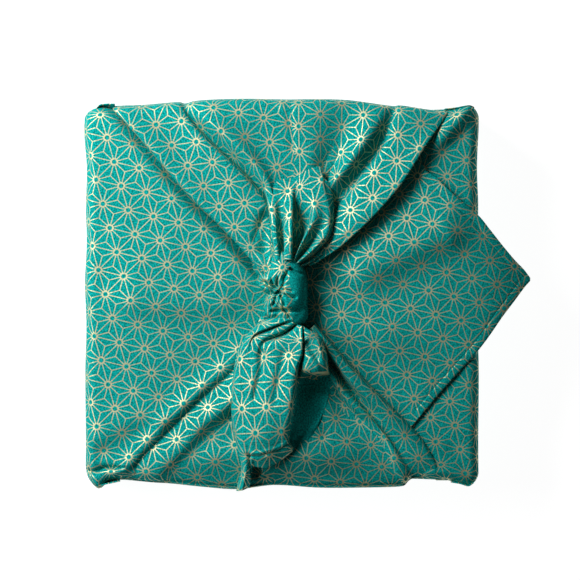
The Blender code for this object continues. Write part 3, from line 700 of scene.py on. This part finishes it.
def ear(table, prints, steps, start, seed, creases, shade_plain_from=None):
    """An ear; start is the point along where its print is in its place, and the last argument, if given, has
    the first pleat line and the first point of the lines drawn plain, without foil, as painted shade."""
    grid = pleated(table, steps, ACROSS_EAR)
    x, y = grid[..., 0], grid[..., 1]
    for line, height, width in creases:
        grid[..., 2] += fold(x, y, line, height, width, ends=(0.1, 0.1))
    went = np.linspace(0, 1, grid.shape[1])
    grid[..., 2] += TOP + waves(x, y, seed, size=16, height=0.22) * past(went, 0, 1 / 3)
    uv = print_rows(grid, prints, ACROSS_EAR, start)
    line, point = shade_plain_from or (0, len(steps))
    split = sum(steps[:point])
    cloth.lay(grid[:, : split + 1], [(near[: split + 1], far[: split + 1]) for near, far in uv])
    # painted shade: past that pleat line the rows are drawn plain, without foil, on the side away from the
    # light
    if shade_plain_from:
        off = [PLAIN_IN_SHADE * (row >= line * ACROSS_EAR) for row in range(len(uv))]
        cloth.lay(grid[:, split:], [(near[split:] + k, far[split:] + k) for (near, far), k in zip(uv, off)])


back_ear_prints = [("back_2", 0, 7), ("back_ear", 7, 14)]
ear(BACK_EAR, back_ear_prints, steps=[10, 12, 12, 10, 12], start=54, seed=41, creases=[
    ([(21.6, 64.0), (19.0, 62.6), (15.4, 63.4)], -0.7, 0.7),
])
front_ear_steps = [10, 12, 12, 9, 16, 18, 12, 12]
# the long ear's side turned away from the light is drawn plain, without foil: painted shade
ear(FRONT_EAR, [("front_ear", 0, 18)], front_ear_steps, start=56, seed=42, shade_plain_from=(13, 4), creases=[
    # the hem's sewn line, soft creases down the face, and the crumpled lobe beside it
    ([(-25.0, -85.0), (-12.0, -84.8), (-2.0, -81.8), (5.4, -77.0)], 0.7, 0.9),
    ([(-25.0, -86.4), (-12.0, -86.2), (-2.0, -83.2), (6.0, -78.2)], -1.5, 0.7),
    ([(-10.6, -28.0), (-11.2, -42.0), (-15.4, -58.0)], -1.8, 2.0),
    ([(1.6, -28.0), (-1.0, -42.0), (-4.4, -60.0)], -1.4, 2.2),
    ([(18.6, -24.0), (20.0, -28.0), (21.8, -34.0)], 1.4, 1.0),
    ([(12.6, -24.0), (15.6, -29.0), (20.0, -35.0)], -2.4, 1.5),
    ([(14.6, -34.0), (17.6, -36.0), (19.4, -40.0)], 1.2, 1.0),
])

# ----------------------------------------------------------------------
# The knot: the two corners of the cotton cross, pass through each other and are drawn tight by hand, so they
# stand in short fat folds that all run into one tuck. The roll on its right, in shade, is drawn plain as the
# reverse of the cloth, with no foil: painted shade.
LATTICE["knot"] = (-25.0, (0.5, 15.1), 0.85, 0.85)
BANDS = (
    # a fold of the knot: how wide it is to each side, then points (x, y, z) along its crest, z over the box
    (6.2, (0.4, 17.6, 14.8), (-0.2, 14.0, 16.0), (0.8, 9.0, 16.4)),
    (8.4, (3.0, 13.0, 15.8), (4.2, 8.0, 18.0), (4.6, 1.0, 18.8), (4.5, -5.0, 18.0), (4.5, -8.0, 15.6)),
    (6.2, (2.6, 10.6, 15.8), (-2.0, 9.4, 16.6), (-5.6, 6.6, 15.0)),
    (5.4, (1.0, -1.0, 15.2), (-3.0, -3.0, 15.2), (-4.0, -7.4, 12.6)),
    (4.6, (2.6, -3.6, 15.0), (1.6, -8.0, 13.4), (3.4, -12.0, 12.0)),
    (4.6, (-1.6, -12.0, 10.6), (4.0, -11.8, 13.4), (9.0, -11.4, 13.6), (9.2, -7.6, 13.4)),
    (8.8, (0.6, 8.0, 12.0), (0.4, -5.0, 11.4), (3.4, -10.0, 9.6)),
)
TUCKS = (
    # a crease of the knot: its depth, its width, then where it runs
    (5.0, 1.2, (-12.6, 7.4), (-8.8, 6.2), (-5.2, 4.2), (-2.4, 2.2)),
    (6.5, 1.5, (-2.6, 2.6), (-1.6, 1.4), (-1.2, 0.2)),
    (4.0, 0.8, (-1.4, 0.8), (2.2, -0.2), (5.4, -1.0), (8.8, -1.2)),
    (2.2, 0.6, (-1.0, 2.2), (1.6, 2.8), (4.0, 2.2), (6.6, 1.4)),
    (3.6, 0.8, (-1.4, 0.2), (0.6, -3.0), (1.6, -6.4)),
    (2.6, 0.7, (-1.2, 2.6), (0.6, 5.6), (1.4, 9.6), (3.8, 13.6)),
    (2.0, 0.6, (-1.6, 3.0), (-2.4, 6.4), (-2.0, 10.6)),
    (2.0, 0.6, (-2.0, 2.8), (-4.4, 5.6), (-6.0, 9.4)),
    (2.4, 0.7, (-2.2, 1.2), (-5.2, 0.4), (-8.6, -1.4)),
    (2.0, 0.7, (-2.0, 0.6), (-3.8, -2.4), (-5.0, -6.4)),
    (3.2, 0.8, (-7.4, -8.8), (-1.0, -8.2), (5.0, -8.2), (13.4, -8.0)),
    (2.4, 0.7, (-0.4, -6.4), (2.6, -9.4), (5.0, -13.4)),
    (2.6, 0.8, (3.4, 14.6), (8.0, 12.2), (13.6, 10.8)),
)
# the middle of the tuck
TUCK_X, TUCK_Y = -1.6, 1.4
# what the knot covers in X and Y, and the left edge of the plain roll, X at places in Y
KNOT_X, KNOT_Y = (-16.0, 17.5), (-20.0, 25.0)
ROLL_Y, ROLL_X = [-14.0, -9.0, -3.0, 2.0, 8.0, 12.5], [6.0, 4.6, 6.2, 5.2, 3.4, 4.8]
# columns of points left of that edge, columns right of it, and rows
LEFT_COLUMNS, RIGHT_COLUMNS, KNOT_ROWS = 54, 34, 118
# a band is round as far as this share of its width, and falls away steeply beyond it
ROUND_TO, FALL = 0.94, 60.0
# heights over the box: where no band is, and where the knot's edge is hidden under the panels
FAR_BELOW, UNDER_PANELS = -30.0, -2.0


def gathered(x, y):
    """Height of the knot over the top of the box; it drops away below the panels outside the knot."""
    z = np.full(x.shape, FAR_BELOW)
    for wide, *crest in BANDS:
        line = soft_curve(crest, steps=6)
        side, went = along_line(x, y, line[:, :2])
        steps = np.concatenate([[0], np.cumsum(np.linalg.norm(np.diff(line[:, :2], axis=0), axis=1))])
        top = np.interp(went, steps / steps[-1], line[:, 2])
        off = np.abs(side) / wide
        drop = wide * (1 - np.sqrt(1 - np.minimum(off, ROUND_TO) ** 2)) + FALL * np.maximum(off - ROUND_TO, 0)
        band = top - drop
        # where two bands meet, the cloth fills the gap a little
        z = np.maximum(z, band) + 0.315 * np.exp(-np.abs(z - band) / 0.7)
    for depth, wide, *line in TUCKS:
        z = z - fold(x, y, soft_curve(line, steps=4), depth, wide, ends=(0.12, 0.25))
    # fine creases run out all round the tuck on its left
    r, turn = np.hypot(x - TUCK_X, y - TUCK_Y), np.arctan2(y - TUCK_Y, x - TUCK_X)
    z = z + 0.42 * np.sin(15 * turn + 0.5 * r) * past(x, 3.0, -4.0) * bell(r - 6.0, 3.4)
    return z + waves(x, y, seed=61, size=7, height=0.16)


def knot():
    """The knot, laid over the panels as one surface."""
    y = np.linspace(*KNOT_Y, KNOT_ROWS)
    edge = np.interp(y, ROLL_Y, ROLL_X)
    left = np.linspace(0, 1, LEFT_COLUMNS)[:, None]
    right = np.linspace(0, 1, RIGHT_COLUMNS + 1)[1:, None]
    x = np.concatenate([KNOT_X[0] + (edge - KNOT_X[0]) * left, edge + (KNOT_X[1] - edge) * right])
    y = np.broadcast_to(y, x.shape)
    grid = np.stack([x, y, TOP + np.maximum(gathered(x, y), UNDER_PANELS)], axis=-1)

    # the cloth is gathered towards the tuck, so round it the print closes up into streaks
    r, turn = np.hypot(x - TUCK_X, y - TUCK_Y), np.arctan2(y - TUCK_Y, TUCK_X - x)
    pull = bell(r, 7.5) * past(x, 5.0, -7.0)
    out, spread = r * (1 + 0.8 * pull), turn * (1 + 0.6 * pull * (1 - (turn / math.pi) ** 2))
    flat = np.stack([TUCK_X - out * np.cos(spread), TUCK_Y + out * np.sin(spread)], axis=-1)
    coords = printed(flat, "knot")
    # painted shade: right of that edge the roll gets no foil
    off = [PLAIN_IN_SHADE * (row >= LEFT_COLUMNS - 1) for row in range(len(coords) - 1)]
    cloth.lay(grid, [(near + k, far + k) for near, far, k in zip(coords[:-1], coords[1:], off)])


knot()

# ----------------------------------------------------------------------
# The finished cloth: one square of plain-woven cotton, dyed teal and printed with the lattice in gold foil on
# its face alone. All its panels are one piece, which nothing but the knot holds.


def linear(code):
    """A colour code as the eye sees it, in the renderer's linear values."""
    parts = [int(code[i : i + 2], 16) / 255 for i in (1, 3, 5)]
    return [c / 12.92 if c <= 0.04045 else ((c + 0.055) / 1.055) ** 2.4 for c in parts] + [1.0]


def node(tree, kind, links=(), out=0, **settings):
    """Add a shader node with its settings; links maps an input to a value or to another node's output."""
    added = tree.nodes.new("ShaderNode" + kind)
    for key, value in settings.items():
        setattr(added, key, value)
    for key, value in dict(links).items():
        if isinstance(value, bpy.types.NodeSocket):
            tree.links.new(value, added.inputs[key])
        else:
            added.inputs[key].default_value = value
    return added.outputs[out]


# the dye on its dark and its light threads, and the foil
DARK_THREAD, LIGHT_THREAD, FOIL = linear("#026f6b"), linear("#08b8b1"), linear("#d6d0a6")
# the real threads are about 0.3 mm and too fine to show, so their shades are drawn 0.82 mm wide and their
# relief 0.54 mm; the foil is worn in patches of about 4.65 mm
SHADES, RELIEF, PATCHES = (round(PITCH / size) for size in (0.82, 0.54, 4.65))
# in shares of the repeat: half the width of a foil line where it is worn, how much more it has elsewhere, the
# middle and half the width of the ring round each star's open eye, and how soft the edges are
LINE, UNWORN, RING, RING_HALF, EDGE = 0.0105, 0.012, 0.122, 0.036, 0.010


def printed_cotton():
    """Dull woven cotton whose threads differ in shade, and foil that shines where it faces the light."""
    cotton = bpy.data.materials.new("printed_cotton")
    cotton.use_nodes = True
    tree = cotton.node_tree
    uv = node(tree, "UVMap", uv_map="print")

    # the lattice has a star at each corner of a cell and one in its middle; each point takes the nearer star
    half, low = (0.5, ROW, 1.0), (-0.5, -ROW, -1.0)
    middle = node(tree, "VectorMath", {0: uv, 1: (0.5, ROW, 0.0)}, operation="ADD")
    one = node(tree, "VectorMath", {0: uv, 1: half, 2: low}, operation="WRAP")
    two = node(tree, "VectorMath", {0: middle, 1: half, 2: low}, operation="WRAP")
    reach_1 = node(tree, "VectorMath", {0: one}, "Value", operation="LENGTH")
    reach_2 = node(tree, "VectorMath", {0: two}, "Value", operation="LENGTH")
    nearer = node(tree, "Math", {0: reach_2, 1: reach_1}, operation="LESS_THAN")
    star = node(tree, "Mix", {0: nearer, 4: one, 5: two}, out=1, data_type="VECTOR")
    star_x = node(tree, "SeparateXYZ", {0: star}, "X")
    star_y = node(tree, "SeparateXYZ", {0: star}, "Y")
    reach = node(tree, "Math", {0: reach_1, 1: reach_2}, operation="MINIMUM")

    # twelve rays run out of a star, 30 degrees apart; the angle to the nearest runs up for 15 and back down
    angle = node(tree, "Math", {0: star_y, 1: star_x}, operation="ARCTAN2")
    angle = node(tree, "Math", {0: angle, 1: 2 * math.pi}, operation="ADD")
    angle = node(tree, "Math", {0: angle, 1: math.pi / 12}, operation="PINGPONG")
    across = node(tree, "Math", {0: angle}, operation="SINE")
    across = node(tree, "Math", {0: reach, 1: across}, operation="MULTIPLY")

    # a foil line along each ray, narrower where it is worn, and a ring round the star's open eye
    patches = node(tree, "TexNoise", {"Vector": uv, "Scale": PATCHES, "Detail": 2.0}, noise_dimensions="2D")
    width = node(tree, "Math", {0: patches, 1: UNWORN, 2: LINE}, operation="MULTIPLY_ADD")
    width = node(tree, "Math", {0: width, 1: EDGE / 2}, operation="ADD")
    line = node(tree, "Math", {0: width, 1: across}, operation="SUBTRACT")
    line = node(tree, "Math", {0: line, 1: EDGE}, operation="DIVIDE", use_clamp=True)
    outside_eye = node(tree, "Math", {0: reach, 1: RING}, operation="GREATER_THAN")
    line = node(tree, "Math", {0: line, 1: outside_eye}, operation="MULTIPLY")
    ring = node(tree, "Math", {0: reach, 1: RING}, operation="SUBTRACT")
    ring = node(tree, "Math", {0: ring}, operation="ABSOLUTE")
    ring = node(tree, "Math", {0: RING_HALF, 1: ring}, operation="SUBTRACT")
    ring = node(tree, "Math", {0: ring, 1: EDGE}, operation="DIVIDE", use_clamp=True)
    gold = node(tree, "Math", {0: line, 1: ring}, operation="MAXIMUM")

    # painted shade: no foil on the parts drawn plain where they lie in shade, and less of it in the hollows
    # between threads
    uv_x = node(tree, "SeparateXYZ", {0: uv}, "X")
    face = node(tree, "Math", {0: uv_x, 1: PLAIN_IN_SHADE[0] / 2}, operation="LESS_THAN")
    gold = node(tree, "Math", {0: gold, 1: face}, operation="MULTIPLY")
    thread = node(tree, "TexNoise", {"Vector": uv, "Scale": SHADES, "Detail": 1.0}, noise_dimensions="2D")
    thread = node(tree, "Math", {0: thread, 1: 2.6, 2: -0.8}, operation="MULTIPLY_ADD", use_clamp=True)
    full = node(tree, "Math", {0: thread, 1: 0.5, 2: 0.66}, operation="MULTIPLY_ADD", use_clamp=True)
    gold = node(tree, "Math", {0: gold, 1: full}, operation="MULTIPLY")

    dye = node(tree, "Mix", {0: thread, 6: DARK_THREAD, 7: LIGHT_THREAD}, out=2, data_type="RGBA")
    colour = node(tree, "Mix", {0: gold, 6: dye, 7: FOIL}, out=2, data_type="RGBA")
    # the foil is nearly all metal and smoother than the cotton, which is fully rough
    metal = node(tree, "Math", {0: gold, 1: 0.9}, operation="MULTIPLY")
    rough = node(tree, "Math", {0: gold, 1: -0.29, 2: 0.85}, operation="MULTIPLY_ADD")
    weave = node(tree, "TexNoise", {"Vector": uv, "Scale": RELIEF, "Detail": 3.0}, noise_dimensions="2D")
    bump = node(tree, "Bump", {"Strength": 0.25, "Distance": 0.3 * MM, "Height": weave})
    shader = tree.nodes["Principled BSDF"]
    for name, output in (("Base Color", colour), ("Metallic", metal), ("Roughness", rough), ("Normal", bump)):
        tree.links.new(output, shader.inputs[name])
    # dyed cotton has hardly any gloss of its own
    shader.inputs["Specular IOR Level"].default_value = 0.06
    return cotton


wrap = cloth.finish("furoshiki_cloth")
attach(wrap, "root")
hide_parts("furoshiki_wrap")
wrap.data.materials.append(printed_cotton())

# ----------------------------------------------------------------------
# The pale surface that the parcel lies on: a sheet of matt white paper, laid flat and lit from within, so it
# stays an even white with only a soft shadow beside the parcel.
# its size in metres, and how far it is below the cloth, so that the two don't share a plane
PAPER_SIZE, PAPER_BELOW = 30, 0.2 * MM
bpy.ops.mesh.primitive_plane_add(size=PAPER_SIZE, location=(0, 0, -PAPER_BELOW))
floor = bpy.context.object
floor.name = "white_table"
paper = bpy.data.materials.new("white_paper")
paper.use_nodes = True
surface = paper.node_tree.nodes["Principled BSDF"]
surface.inputs["Base Color"].default_value = linear("#808080")
surface.inputs["Roughness"].default_value = 0.9
surface.inputs["Specular IOR Level"].default_value = 0.0
surface.inputs["Emission Color"].default_value = linear("#ffffff")
surface.inputs["Emission Strength"].default_value = 0.97
floor.data.materials.append(paper)

# ----------------------------------------------------------------------
# The studio: two square soft lights from the upper left, hung at arm's length and turned to the knot, and a
# little light from all round. The camera looks straight down. Lengths here are metres.
LIT_POINT = (0, 0, 0.05)
LAMPS = (
    # a light: its name, where it hangs, how wide it is, its power in watts
    ("key_light", (-0.34, 0.345, 0.38), 0.19, 3.08),
    ("side_light", (-0.45, 0.05, 0.38), 0.28, 1.6),
)
# the camera: where it stands, then its sensor's width and its lens in millimetres, and how far it sees
CAMERA_PLACE, SENSOR, LENS, SEES = (0.0043, 0.0027, 1.545), 36.0, 172.4, 50

for name, place, size, power in LAMPS:
    data = bpy.data.lights.new(name, "AREA")
    data.shape, data.size, data.energy = "SQUARE", size, power
    lamp = bpy.data.objects.new(name, data)
    lamp.location = place
    lamp.rotation_euler = (Vector(LIT_POINT) - Vector(place)).to_track_quat("-Z", "Y").to_euler()
    bpy.context.collection.objects.link(lamp)

world = bpy.data.worlds.new("studio")
world.use_nodes = True
background = world.node_tree.nodes["Background"]
background.inputs["Color"].default_value = linear("#ffffff")
background.inputs["Strength"].default_value = 0.03
bpy.context.scene.world = world
bpy.context.scene.view_settings.view_transform = "Standard"

eye = bpy.data.cameras.new("camera")
camera = bpy.data.objects.new("camera", eye)
bpy.context.collection.objects.link(camera)
camera.location = CAMERA_PLACE
eye.sensor_width, eye.lens = SENSOR, LENS
eye.clip_end = SEES
bpy.context.scene.camera = camera
